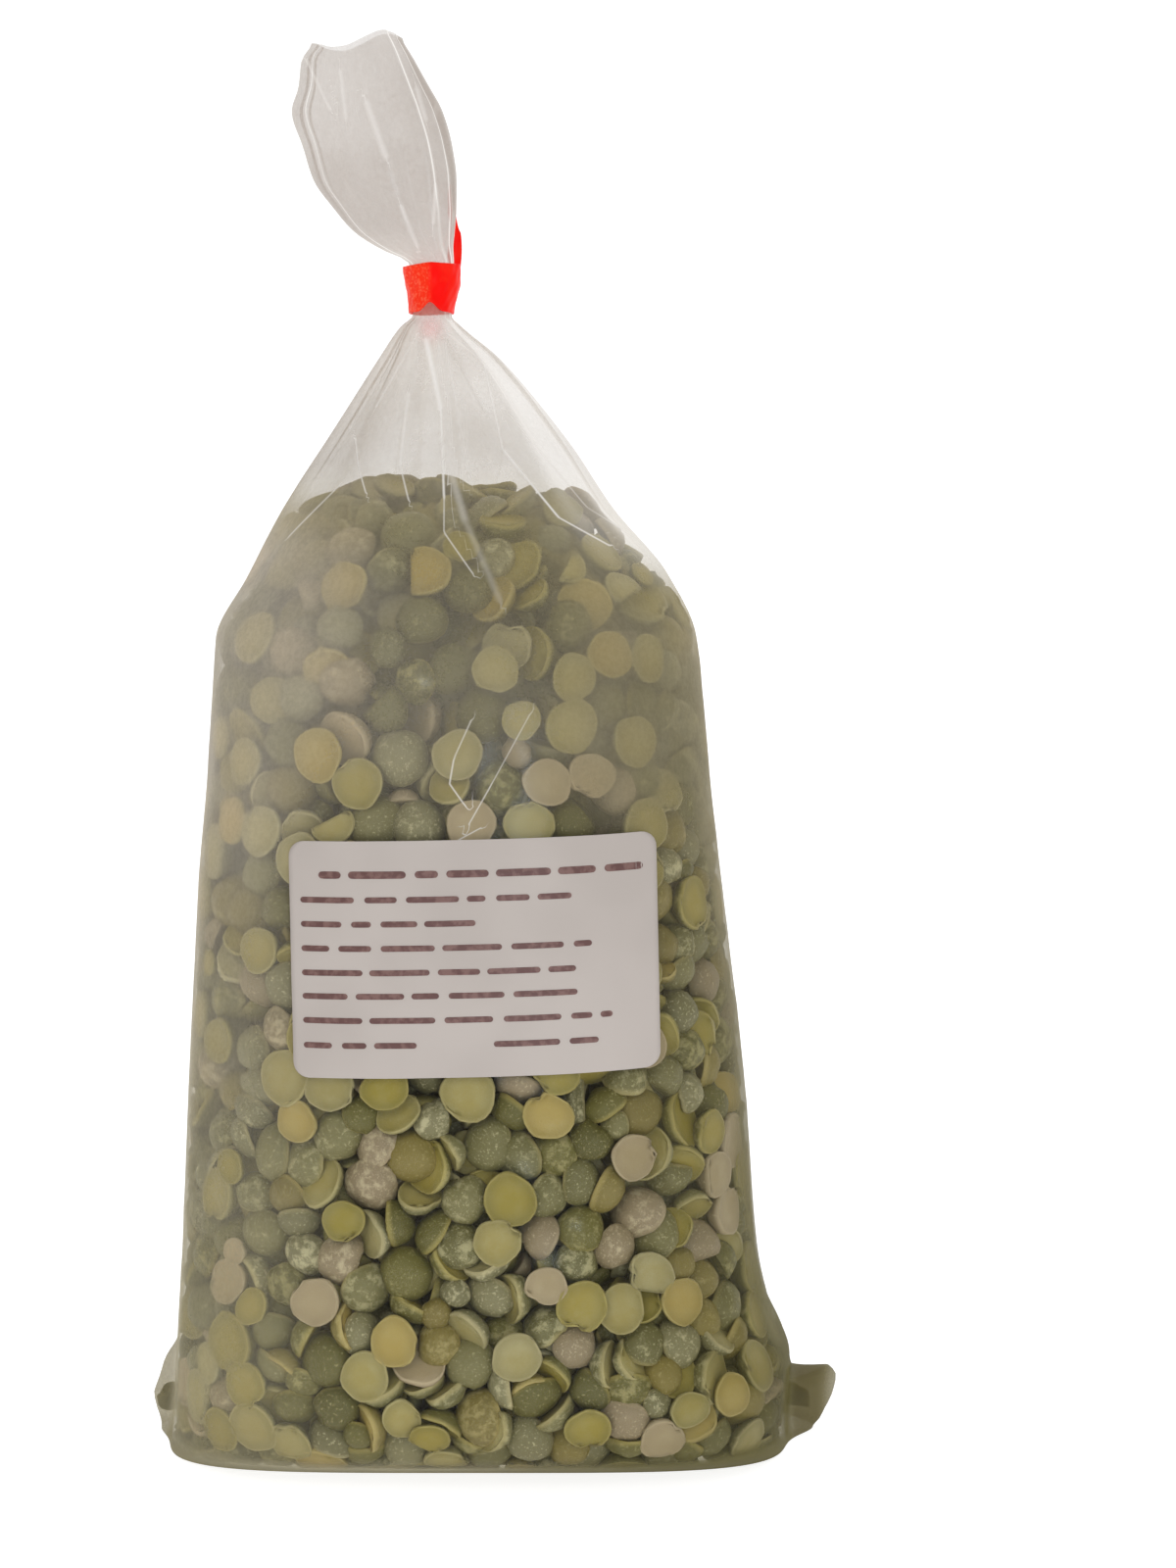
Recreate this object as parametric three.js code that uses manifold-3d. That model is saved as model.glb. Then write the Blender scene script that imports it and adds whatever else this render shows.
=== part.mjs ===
// A half-kilogram bag of dried split peas, standing on its base: a clear pillow bag of thin film,
// gathered at the neck and closed with red tape, with a paper label on its front.
// Millimetres, +Z up, the front faces -Y. The origin is the middle of the flat underside.

import * as THREE from "three";
import { mergeVertices } from "three/addons/utils/BufferGeometryUtils.js";
import Module from "manifold-3d";

const wasm = await Module();
wasm.setup();

// ---------- Driving dimensions ----------

const GAP = 0.3; // between pieces that touch in the real pack

// The filled bag's outline, station by station: height, left edge, right edge, front, back, and the
// roundness of the section: 2 is an ellipse, and larger is squarer.
const BAG = [
  [0, -46.4, 46.2, -23.2, 23.2, 4.2],
  [1.2, -46.2, 46.3, -26.8, 26.8, 4.0],
  [2.8, -46.0, 46.3, -30.8, 30.6, 3.6],
  [5.5, -45.8, 46.4, -34.4, 34.2, 3.2],
  [12, -45.5, 46.9, -36.8, 36.4, 3.0],
  [20, -45.1, 43.9, -36.6, 36.4, 2.9],
  [30, -44.6, 41.9, -36.2, 36.0, 2.7],
  [55, -43.4, 40.0, -35.3, 35.1, 2.6],
  [85, -41.7, 36.4, -34.2, 33.8, 2.5],
  [100, -40.3, 34.7, -33.2, 32.8, 2.5],
  [112, -39.5, 33.6, -32.2, 31.8, 2.5],
  [121, -38.8, 32.6, -30.8, 30.4, 2.5],
  [130, -33.8, 28.4, -27.0, 26.6, 2.4],
  [140, -28.2, 19.9, -21.4, 21.2, 2.3],
  [150, -21.9, 13.4, -15.0, 15.0, 2.2],
  [162, -14.5, 3.8, -6.8, 6.8, 2],
  [166.6, -11.4, -1.9, -4.0, 4.0, 2],
  [168.4, -9.5, -3.7, -3.3, 3.3, 2],
  [172, -9.3, -3.4, -2.9, 2.9, 2],
  [176, -10.5, -2.5, -3.0, 3.0, 2],
  [178, -14.3, -2.4, -3.2, 3.1, 2],
  [180.5, -18.2, -2.2, -3.5, 3.3, 2],
  [184, -21.3, -2.3, -3.8, 3.5, 2],
  [188, -24.2, -2.5, -4.2, 3.7, 2],
  [193, -25.8, -3.1, -4.5, 3.9, 2],
  [198, -27.3, -4.5, -4.6, 4.0, 2],
  [201.5, -26.2, -6.5, -4.4, 3.8, 2],
  [205, -25.7, -8.9, -3.8, 3.2, 2],
  [207, -24.2, -10.6, -3.0, 2.4, 2],
];
const NECK_LOW = 168.4;
const NECK_HIGH = 176;
const MOUTH_DEPTH = 2; // the gathered mouth closes this far down inside its edge
const MOUTH_HEIGHT = BAG.at(-1)[0];

// The two corners of the flat bag stick out beside the base as film ears: height, reach past the side.
const RIGHT_EAR = [[0, 4.6], [1.6, 5.7], [2.9, 6.3], [4.1, 7.0], [5.2, 7.5], [6.7, 7.8], [7.8, 7.2],
  [8.6, 6.5], [8.9, 1.5], [9.6, 0.8], [11.3, 0.3], [17, 0.1], [24, 0]];
const LEFT_EAR = [[0, 2.4], [1.6, 2.8], [2.9, 3.4], [4.1, 3.8], [5.3, 4.1], [6.5, 3.8], [7.8, 3.4], [10.2, 2.8],
  [11.4, 2.3], [12.7, 1.5], [13.9, 0.9], [16.3, 0.5], [20, 0.3], [26, 0]];
const EAR_TOP = [8.6, 8.9]; // the larger ear's upper edge lies between these heights
const EAR_LIFT = 1.37; // and is bent up by this much towards the ear's tip
const EAR_REACH = 7.8;
const EAR_HALF_THICKNESS = [[0, 5.5], [5, 4], [10, 3]];
const EDGE_HALF_WIDTH = 0.12; // of the bare stretch beside each ear, as a share of the depth

// Peas press the film out in small bumps, one to a pea, set in staggered rows. A bump is carried by one
// point, and the points round it lie in the dips.
const COLUMNS = 76;
const PEA_ROWS = 20;
const PEAS_LOW = 3.6;
const PEAS_HIGH = 124;
const DIP_DEPTH = 1.25;
const SHIFT = 0.5; // the most that a bump lies off its place in the row
const FADE = [118, 136]; // over these heights the heap leaves the film and the bumps end

// The film's pleats, running down from the neck: height and depth as a share of the radius.
const PLEATS = [[118, 0], [132, 0.03], [145, 0.08], [158, 0.16], [167, 0.24], [169, 0.1], [175, 0.1],
  [178, 0.12], [188, 0.16], [207, 0.2]];

const LABEL = { width: 51.6, height: 33.2, centreX: 0.5, centreZ: 77.2, corner: 2.2, tilt: 1.2, thick: 0.35 };
const TAPE = { low: 168.6, high: 175.8, thick: 0.6, notch: 1.3 };
const FLAG = { width: 1.9, height: 17, thick: 0.5, centreX: -4.1, back: 3, lean: 2 }; // the tape's free end

// ---------- Helpers ----------

// A smooth value from rows whose first number is the height, with no overshoot between the rows.
function along(rows, height, column = 1) {
  const last = rows.length - 1;
  if (height <= rows[0][0]) return rows[0][column];
  if (height >= rows[last][0]) return rows[last][column];
  const i = rows.findIndex((row) => row[0] > height) - 1;
  const rise = (k) => (rows[k + 1][column] - rows[k][column]) / (rows[k + 1][0] - rows[k][0]);
  const slope = (k) => {
    if (k <= 0 || k >= last || rise(k - 1) * rise(k) <= 0) return 0;
    return (2 * rise(k - 1) * rise(k)) / (rise(k - 1) + rise(k));
  };
  const span = rows[i + 1][0] - rows[i][0];
  const t = (height - rows[i][0]) / span;
  const from = rows[i][column] * (1 + 2 * t) * (1 - t) ** 2 + slope(i) * span * t * (1 - t) ** 2;
  const to = rows[i + 1][column] * t * t * (3 - 2 * t) + slope(i + 1) * span * t * t * (t - 1);
  return from + to;
}

const smooth = (low, high, x) => THREE.MathUtils.smoothstep(x, low, high);

// A repeatable random number from two whole numbers.
function chance(a, b) {
  const x = Math.sin(a * 127.1 + b * 311.7 + 17.3) * 43758.5453;
  return x - Math.floor(x);
}

// The two faces between four points, split from the first to the third or, where turned, the other way.
function quad(a, b, c, d, turned = false) {
  return turned ? [a, b, d, b, c, d] : [a, b, c, a, c, d];
}

// A closed skin over rings of points, lowest ring first and counter-clockwise from above, with a
// point that closes each end. The last argument says which squares are split the other way.
function loft(rings, bottom, top, turned) {
  const count = rings[0].length;
  const points = [bottom, ...rings.flat(), top];
  const faces = [];
  for (let i = 0; i < count; i++) {
    const next = (i + 1) % count;
    faces.push(0, 1 + next, 1 + i);
    for (let k = 0; k < rings.length - 1; k++) {
      const low = 1 + k * count;
      const high = low + count;
      faces.push(...quad(low + i, low + next, high + next, high + i, turned(i, k)));
    }
    const end = 1 + (rings.length - 1) * count;
    faces.push(end + i, end + next, points.length - 1);
  }
  const geometry = new THREE.BufferGeometry().setFromPoints(points);
  geometry.setIndex(faces);
  return geometry;
}

function toSolid(geometry) {
  const bare = geometry.clone();
  bare.deleteAttribute("normal");
  bare.deleteAttribute("uv");
  const merged = mergeVertices(bare, 1e-4);
  const mesh = new wasm.Mesh({
    numProp: 3,
    vertProperties: merged.attributes.position.array,
    triVerts: new Uint32Array(merged.index.array),
  });
  return new wasm.Manifold(mesh);
}

function toGeometry(solid) {
  const mesh = solid.getMesh();
  const geometry = new THREE.BufferGeometry();
  geometry.setAttribute("position", new THREE.BufferAttribute(mesh.vertProperties, 3));
  geometry.setIndex(new THREE.BufferAttribute(mesh.triVerts, 1));
  return geometry;
}

function piece(name, geometry, color, roughness) {
  geometry.computeVertexNormals();
  const material = new THREE.MeshStandardMaterial({ color, roughness, metalness: 0 });
  const mesh = new THREE.Mesh(geometry, material);
  mesh.name = name;
  return mesh;
}

// ---------- The filled bag ----------

// Irregular folds round the section, from 0 in a valley to 1 on a ridge.
function pleat(angle) {
  const wide = Math.cos(13 * angle + 1.1 * Math.sin(2 * angle) + 0.5);
  const narrow = Math.cos(9 * angle + 0.8 * Math.sin(3 * angle) + 2);
  return 0.5 + 0.3 * wide + 0.2 * narrow;
}

// Whether a point of the skin lies on a pea: every second column, on every second row.
const onPea = (column, row) => row % 2 === 0 && (column + row / 2) % 2 === 0;

// How far the film dips in at a point, and how far a bump is off its place across and in height. A ring
// of points between two rows takes its share of both.
function relief(column, row) {
  const below = Math.floor(row);
  if (row > below) {
    const above = relief(column, below + 1);
    return relief(column, below).map((amount, k) => amount + (above[k] - amount) * (row - below));
  }
  if (!onPea(column, row)) return [DIP_DEPTH * (0.8 + 0.2 * chance(column, row)), 0, 0];
  const aside = 2 * SHIFT * (chance(column + 3, row) - 0.5);
  const up = 2 * SHIFT * (chance(column, row + 7) - 0.5);
  return [DIP_DEPTH * 0.45 * chance(row, column), aside, up];
}

// A point of the bag's skin, in a column of points and at a height. The share pulls it in towards the
// middle of the section. The row counts the rings of points in the peas' stretch.
function skinPoint(column, height, share = 1, row = 1) {
  const edge = Math.exp(-((Math.sin((2 * Math.PI * column) / COLUMNS) / EDGE_HALF_WIDTH) ** 2));
  const away = (1 - edge) * (1 - smooth(...FADE, height)) * smooth(0.5, PEAS_LOW, height);
  const [inward, aside, up] = relief(column, row).map((amount) => amount * away);
  const place = height + up;
  const [left, right, front, back, square] = [1, 2, 3, 4, 5].map((k) => along(BAG, place, k));
  const angle = (2 * Math.PI * column) / COLUMNS + aside / ((right - left) / 2);
  const across = Math.cos(angle);
  const deep = Math.sin(angle);
  const reach = (Math.abs(across) ** square + Math.abs(deep) ** square) ** (-1 / square);
  const middle = (left + right) / 2;
  const x = ((right - left) / 2) * reach * across;
  const y = (deep < 0 ? -front : back) * reach * deep;
  const folds = 1 - along(PLEATS, place) * (1 - pleat(angle));
  const scale = share * folds * (1 - inward / Math.hypot(x, y));
  const fin = Math.exp(-((y / along(EAR_HALF_THICKNESS, place)) ** 2));
  const ear = across > 0 ? along(RIGHT_EAR, place) : -along(LEFT_EAR, place);
  const outX = middle + x * scale + ear * fin * share;
  const tip = Math.max(ear * fin, 0) / EAR_REACH;
  const lift = EAR_LIFT * tip ** 2 * smooth(3, 8, place);
  return new THREE.Vector3(outX, y * scale, place + lift + mouthRise(outX, place));
}

// The bag's mouth isn't level: it rises to a point right of its middle and at its left corner.
function mouthRise(x, height) {
  const peak = 2.6 * Math.exp(-(((x + 13.5) / 4) ** 2));
  const corner = 0.9 * Math.exp(-(((x + 24) / 2) ** 2));
  return (peak + corner) * smooth(196, MOUTH_HEIGHT, height);
}

// The heights of the rings of points, and each ring's row where it lies in the peas' stretch.
function ringPlaces() {
  const plain = (heights) => heights.map((height) => [height, 1]);
  const step = (PEAS_HIGH - PEAS_LOW) / (2 * PEA_ROWS);
  const peas = Array.from({ length: 2 * PEA_ROWS + 1 }, (_, row) => [PEAS_LOW + row * step, row]);
  const shoulders = [127.2, 130.5, 134, 137.6, 141.2, 145, 149, 153, 157, 161, 164.5, 166.6];
  const neck = [NECK_LOW, (NECK_LOW + NECK_HIGH) / 2, NECK_HIGH];
  const tail = [178, 180.5, 184, 188, 193, 197.5, 201.5, 205, MOUTH_HEIGHT];
  const upper = peas.findIndex(([height]) => height > EAR_TOP[1]);
  peas.splice(upper, 0, ...EAR_TOP.map((height) => [height, (height - PEAS_LOW) / step]));
  return [...plain([0, 0.7, 2]), ...peas, ...plain([...shoulders, ...neck, ...tail])];
}

function makeBag() {
  const columns = Array.from({ length: COLUMNS }, (_, column) => column);
  const ring = (height, share, row) => columns.map((column) => skinPoint(column, height, share, row));
  const base = [0.35, 0.7].map((share) => ring(0, share));
  const places = ringPlaces();
  const rings = [...base, ...places.map(([height, row]) => ring(height, 1, row))];
  // Four squares meet at a bump's point, and all are split from it.
  const rows = [...base.map(() => 1), ...places.map(([, row]) => row)];
  const turned = (column, k) => onPea(column + 1, rows[k]) || onPea(column, rows[k + 1]);
  const mouth = rings.at(-1);
  const inner = mouth.reduce((sum, p) => sum.add(p), new THREE.Vector3()).divideScalar(COLUMNS);
  inner.z -= MOUTH_DEPTH;
  return piece("filled_bag", loft(rings, new THREE.Vector3(), inner, turned), 0x8f9270, 0.35);
}

// ---------- The paper label ----------

// How far forward the bag's front is, at a place across and a height.
function frontAt(x, height) {
  const [left, right, front, , square] = [1, 2, 3, 4, 5].map((k) => along(BAG, height, k));
  const share = Math.abs((x - (left + right) / 2) / ((right - left) / 2));
  return front * (1 - share ** square) ** (1 / square);
}

function makeLabel() {
  const { width, height, centreX, centreZ, corner, tilt, thick } = LABEL;
  const turn = THREE.MathUtils.degToRad(tilt);
  const rows = [0, 0.3, 1, corner];
  const levels = [...rows.map((d) => d - height / 2), -9, -3, 3, 9, ...rows.map((d) => height / 2 - d).reverse()];
  const across = 20;
  const point = (column, level, out) => {
    const end = height / 2 - Math.abs(level);
    const cut = end < corner ? corner - Math.sqrt(corner ** 2 - (corner - end) ** 2) : 0;
    const x = (column / across - 0.5) * (width - 2 * cut);
    const px = centreX + x * Math.cos(turn) - level * Math.sin(turn);
    const pz = centreZ + x * Math.sin(turn) + level * Math.cos(turn);
    return new THREE.Vector3(px, frontAt(px, pz) - GAP - out, pz);
  };
  // Each ring runs along the back of one level and returns along its face.
  const rings = levels.map((level) => {
    const behind = Array.from({ length: across + 1 }, (_, i) => point(across - i, level, 0));
    const face = Array.from({ length: across + 1 }, (_, i) => point(i, level, thick));
    return [...behind, ...face];
  });
  return piece("paper_label", closedStrip(rings), 0xdcd2cf, 0.7);
}

// A skin over flat rings that are thin loops, whose first and last ring are closed across the loop.
function closedStrip(rings) {
  const count = rings[0].length;
  const half = count / 2;
  const points = rings.flat();
  const faces = [];
  for (let k = 0; k < rings.length - 1; k++) {
    for (let i = 0; i < count; i++) {
      const next = (i + 1) % count;
      const low = k * count;
      const high = low + count;
      faces.push(...quad(low + i, low + next, high + next, high + i));
    }
  }
  const end = (rings.length - 1) * count;
  for (let i = 0; i < half - 1; i++) {
    const across = count - 1 - i;
    faces.push(...quad(i, across, across - 1, i + 1));
    faces.push(...quad(end + i, end + i + 1, end + across - 1, end + across));
  }
  const geometry = new THREE.BufferGeometry().setFromPoints(points);
  geometry.setIndex(faces);
  return geometry;
}

// ---------- The closing tape ----------

// The band's section round the neck, at a distance outside the film.
function bandRing(height, outside) {
  const [left, right, front, back] = [1, 2, 3, 4].map((k) => along(BAG, height, k));
  const count = 40;
  return Array.from({ length: count }, (_, i) => {
    const angle = (2 * Math.PI * i) / count;
    const x = (left + right) / 2 + ((right - left) / 2 + outside) * Math.cos(angle);
    const y = ((back - front) / 2 + outside) * Math.sin(angle);
    return new THREE.Vector3(x, y, height);
  });
}

function makeTape() {
  const { low, high, thick, notch } = TAPE;
  const levels = [low, low + notch, (low + high) / 2, high];
  const outer = levels.map((z) => bandRing(z, GAP + thick));
  const inner = levels.map((z) => bandRing(z, GAP)).reverse();
  // The lower edge rises in a small arch at the front.
  const arch = (p) => {
    const rise = notch * Math.exp(-(((p.x + 6.8) / 1.1) ** 2));
    if (p.y < 0 && p.z === low) p.z += rise;
  };
  [...outer[0], ...inner.at(-1)].forEach(arch);
  const rings = [...outer, ...inner];
  const band = toSolid(ringSkin(rings));
  const sheet = new THREE.BoxGeometry(FLAG.width, FLAG.thick, FLAG.height, 2, 1, 4);
  const spot = new THREE.Matrix4().makeRotationY(THREE.MathUtils.degToRad(-FLAG.lean));
  spot.setPosition(FLAG.centreX, FLAG.back, TAPE.low + 2 + FLAG.height / 2);
  return piece("closing_tape", toGeometry(band.add(toSolid(sheet.applyMatrix4(spot)))), 0xee2a14, 0.4);
}

// A skin over rings that end where they start, as on a pipe's wall.
function ringSkin(rings) {
  const count = rings[0].length;
  const faces = [];
  for (let k = 0; k < rings.length; k++) {
    const low = k * count;
    const high = ((k + 1) % rings.length) * count;
    for (let i = 0; i < count; i++) {
      const next = (i + 1) % count;
      faces.push(...quad(low + i, low + next, high + next, high + i));
    }
  }
  const geometry = new THREE.BufferGeometry().setFromPoints(rings.flat());
  geometry.setIndex(faces);
  return geometry;
}

const pack = new THREE.Group();
pack.add(makeBag(), makeLabel(), makeTape());

export default pack;
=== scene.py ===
import math

import bpy
import numpy as np
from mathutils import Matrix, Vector


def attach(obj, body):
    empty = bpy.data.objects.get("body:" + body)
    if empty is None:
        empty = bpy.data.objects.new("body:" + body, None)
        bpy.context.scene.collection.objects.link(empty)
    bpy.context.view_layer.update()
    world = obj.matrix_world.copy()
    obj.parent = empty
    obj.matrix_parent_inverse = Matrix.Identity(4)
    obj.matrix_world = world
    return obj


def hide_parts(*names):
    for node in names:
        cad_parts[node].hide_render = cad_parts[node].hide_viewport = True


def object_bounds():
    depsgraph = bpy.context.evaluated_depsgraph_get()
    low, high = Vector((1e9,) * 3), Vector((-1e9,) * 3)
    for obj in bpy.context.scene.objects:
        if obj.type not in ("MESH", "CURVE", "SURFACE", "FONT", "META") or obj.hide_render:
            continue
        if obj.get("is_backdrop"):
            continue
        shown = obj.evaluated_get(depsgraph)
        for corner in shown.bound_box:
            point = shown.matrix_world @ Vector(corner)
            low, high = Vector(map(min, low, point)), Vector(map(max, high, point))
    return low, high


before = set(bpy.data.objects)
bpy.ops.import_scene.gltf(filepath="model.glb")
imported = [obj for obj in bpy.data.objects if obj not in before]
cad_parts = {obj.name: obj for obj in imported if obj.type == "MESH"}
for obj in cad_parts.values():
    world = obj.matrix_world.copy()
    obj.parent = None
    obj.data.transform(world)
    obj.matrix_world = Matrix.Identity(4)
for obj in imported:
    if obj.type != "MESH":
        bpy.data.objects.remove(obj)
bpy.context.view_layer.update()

# ---------- The split peas ----------
# Dried split peas, each half a pea about 7 mm across: a flat yellow-green cut face and a dusty dome.
# They were poured into the bag, so they lie any way up, press flat against the film and end in a heap.
# The bag's outline bounds them. Its numbers are millimetres, as are all the sizes of the peas.

MM = 0.001
# height, left edge, right edge, front, back, and the roundness of the section
BAG = np.array([
    [0, -46.4, 46.2, -23.2, 23.2, 4.2],
    [1.2, -46.2, 46.3, -26.8, 26.8, 4.0],
    [2.8, -46.0, 46.3, -30.8, 30.6, 3.6],
    [5.5, -45.8, 46.4, -34.4, 34.2, 3.2],
    [12, -45.5, 46.9, -36.8, 36.4, 3.0],
    [20, -45.1, 43.9, -36.6, 36.4, 2.9],
    [30, -44.6, 41.9, -36.2, 36.0, 2.7],
    [55, -43.4, 40.0, -35.3, 35.1, 2.6],
    [85, -41.7, 36.4, -34.2, 33.8, 2.5],
    [100, -40.3, 34.7, -33.2, 32.8, 2.5],
    [112, -39.5, 33.6, -32.2, 31.8, 2.5],
    [121, -38.8, 32.6, -30.8, 30.4, 2.5],
    [130, -33.8, 28.4, -27.0, 26.6, 2.4],
    [140, -28.2, 19.9, -21.4, 21.2, 2.3],
    [150, -21.9, 13.4, -15.0, 15.0, 2.2],
    [162, -14.5, 3.8, -6.8, 6.8, 2],
    [166.6, -11.4, -1.9, -4.0, 4.0, 2],
    [168.4, -9.5, -3.7, -3.3, 3.3, 2],
    [172, -9.3, -3.4, -2.9, 2.9, 2],
    [176, -10.2, -3.3, -3.0, 3.0, 2],
    [178, -14.3, -3.3, -3.2, 3.1, 2],
    [180.5, -18.2, -3.0, -3.5, 3.3, 2],
    [184, -21.3, -2.6, -3.8, 3.5, 2],
    [188, -24.2, -2.5, -4.2, 3.7, 2],
    [193, -25.8, -3.1, -4.5, 3.9, 2],
    [198, -27.3, -4.5, -4.6, 4.0, 2],
    [201.5, -26.2, -6.5, -4.4, 3.8, 2],
    [205, -25.7, -8.9, -3.8, 3.2, 2],
    [207, -24.2, -10.6, -3.0, 2.4, 2],
])
# The film's pleats, running down from the neck: height and depth as a share of the radius.
PLEATS = np.array([[118, 0], [132, 0.03], [145, 0.08], [158, 0.16], [167, 0.24], [169, 0.1], [175, 0.1],
                   [178, 0.12], [188, 0.16], [207, 0.2]])


def along(rows, height, column=1):
    """A smooth value from rows whose first number is the height, with no overshoot between the rows."""
    place, value = rows[:, 0], rows[:, column]
    rise = np.diff(value) / np.diff(place)
    slope = np.zeros(len(place))
    same = rise[:-1] * rise[1:] > 0
    slope[1:-1][same] = 2 * (rise[:-1] * rise[1:])[same] / (rise[:-1] + rise[1:])[same]
    height = np.clip(height, place[0], place[-1])
    row = np.clip(np.searchsorted(place, height, side="right") - 1, 0, len(place) - 2)
    span = np.diff(place)[row]
    t = (height - place[row]) / span
    start = value[row] * (1 + 2 * t) * (1 - t) ** 2 + slope[row] * span * t * (1 - t) ** 2
    end = value[row + 1] * t * t * (3 - 2 * t) + slope[row + 1] * span * t * t * (t - 1)
    return start + end


def smooth(low, high, x):
    t = np.clip((x - low) / (high - low), 0, 1)
    return t * t * (3 - 2 * t)


def pleat(angle):
    """Irregular folds round the section, from 0 in a valley to 1 on a ridge."""
    wide = np.cos(13 * angle + 1.1 * np.sin(2 * angle) + 0.5)
    narrow = np.cos(9 * angle + 0.8 * np.sin(3 * angle) + 2)
    return 0.5 + 0.3 * wide + 0.2 * narrow


def share_of_bag(x, y, z):
    """0 in the middle of the bag's section and 1 on its film."""
    left, right, front, back, square = (along(BAG, z, k) for k in range(1, 6))
    across = (x - (left + right) / 2) / ((right - left) / 2)
    deep = y / np.where(y < 0, -front, back)
    reach = (np.abs(across) ** square + np.abs(deep) ** square) ** (1 / square)
    return reach / (1 - along(PLEATS, z) * (1 - pleat(np.arctan2(deep, across))))


def heap_top(x, y):
    """How high the peas lie: a low dome, which falls away at the right under a pocket of air."""
    fall = 0.0035 * (x + 8) ** 2 + 0.03 * np.maximum(x - 8, 0) ** 2 + 0.004 * y ** 2
    return 145.6 - fall + 1.5 * np.sin(0.45 * x + 1) * np.sin(0.4 * y + 2)


# The space for the peas, on a lattice: how far inside it each point lies, and the way out.
CELL = 1.5
LATTICE_LOW = np.array([-50.0, -42.0, -3.0])
LATTICE_SIZE = (70, 57, 101)
lattice = np.stack(np.meshgrid(*[LATTICE_LOW[k] + CELL * np.arange(LATTICE_SIZE[k]) for k in range(3)],
                               indexing="ij"), -1)
FLOOR_GAP = 0.9
share = share_of_bag(*np.moveaxis(lattice, -1, 0))
steep = np.linalg.norm(np.stack(np.gradient(share, CELL), -1), axis=-1)
inside = (1 - share) / np.maximum(steep, 1e-3)
inside = np.minimum(inside, lattice[..., 2] - FLOOR_GAP)
inside = np.minimum(inside, 0.95 * (heap_top(lattice[..., 0], lattice[..., 1]) - lattice[..., 2]))
way_out = -np.stack(np.gradient(inside, CELL), -1)
way_out /= np.maximum(np.linalg.norm(way_out, axis=-1, keepdims=True), 1e-6)


def place_inside(points):
    """How far points lie inside the peas' space, and the unit vectors that lead out of it."""
    spot = np.rint((points - LATTICE_LOW) / CELL).astype(int)
    spot = np.clip(spot, 0, np.array(LATTICE_SIZE) - 1)
    i, j, k = np.moveaxis(spot, -1, 0)
    out = way_out[i, j, k]
    off = points - (LATTICE_LOW + CELL * spot)
    return inside[i, j, k] - (out * off).sum(-1), out


draw = np.random.default_rng(11)
PEA_RADIUS = 3.7
RADIUS_SPREAD = 0.34
SHELL = 11.5  # only the peas in this depth behind the film are made: those further in can't be seen
TOP_SHELL = 8.0  # and in this depth under the heap's top
FILLING = 0.72  # share of the space that the peas themselves take
PEA_VOLUME = 1.84  # for a radius of 1
FILM_GAP = 0.3

# Ten balls stand for one half pea of radius 1 while the peas settle: middle, rim and dome.
BALLS = np.array([[0, 0, 0.43, 0.44]]
                 + [[0.66 * math.cos(a), 0.66 * math.sin(a), 0.31, 0.32]
                    for a in np.arange(6) * math.pi / 3]
                 + [[0.36 * math.cos(a), 0.36 * math.sin(a), 0.45, 0.41]
                    for a in np.arange(3) * 2 * math.pi / 3])
MIDDLE = 0.36  # height of the half pea's middle over its cut face, about which it turns
ball_places = BALLS[:, :3] - [0, 0, MIDDLE]
ball_sizes = BALLS[:, 3]


def turns_from(vectors):
    """Turning matrices from turning vectors, whose length is the angle."""
    angle = np.linalg.norm(vectors, axis=1)[:, None, None]
    x, y, z = (vectors / np.maximum(angle[:, 0], 1e-12)).T
    zero = np.zeros_like(x)
    cross = np.stack([zero, -z, y, z, zero, -x, -y, x, zero], -1).reshape(-1, 3, 3)
    return np.eye(3) + np.sin(angle) * cross + (1 - np.cos(angle)) * (cross @ cross)


def turned_to(direction, spin):
    """Turning matrices that lead local +Z to a direction, with a spin about it."""
    helper = np.where(np.abs(direction[:, 2:]) < 0.9, [[0.0, 0.0, 1.0]], [[1.0, 0.0, 0.0]])
    side = np.cross(helper, direction)
    side /= np.linalg.norm(side, axis=1, keepdims=True)
    other = np.cross(direction, side)
    c, s = np.cos(spin)[:, None], np.sin(spin)[:, None]
    return np.stack([c * side + s * other, c * other - s * side, direction], -1)


def near_pairs(centre, turn, radius, margin):
    """Pairs of balls on different peas that lie within a margin of each other."""
    length = (centre ** 2).sum(1)
    apart = length[:, None] + length[None, :] - 2 * centre @ centre.T
    reach = radius[:, None] + radius[None, :] + margin
    first, second = np.nonzero(np.triu(apart < reach ** 2, 1))
    spots = centre[:, None] + np.einsum("nij,kj->nki", turn, ball_places) * radius[:, None, None]
    sizes = ball_sizes[None, :] * radius[:, None]
    gap = np.linalg.norm(spots[first][:, :, None] - spots[second][:, None], axis=-1)
    gap -= sizes[first][:, :, None] + sizes[second][:, None]
    pair, a, b = np.nonzero(gap < margin)
    count = len(BALLS)
    return first[pair] * count + a, second[pair] * count + b


SETTLE_ROUNDS = 420
SWELL_ROUNDS = 150  # the peas are at full size after these
REST_ROUNDS = 60  # nothing drifts in the last ones
START_SIZE, GROWTH = 0.55, 0.45  # shares of the full size
PAIR_ROUNDS = 8  # balls that may touch are looked for again after so many rounds,
PAIR_MARGIN = 1.3  # up to this far apart
INERTIA = 0.3  # of a pea with radius and weight 1
TOP_SLOPE = (0.5, 0.85)  # upward part of the way out, from a steep side of the heap to its top
DRIFT_OUT = 0.028
DRIFT_DEPTH = 5  # only peas nearer than this to the film drift out to it
DRIFT_DOWN = 0.02
HASTE = 1.3
LONGEST_STEP = 0.8
WIDEST_TURN = 0.25


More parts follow.
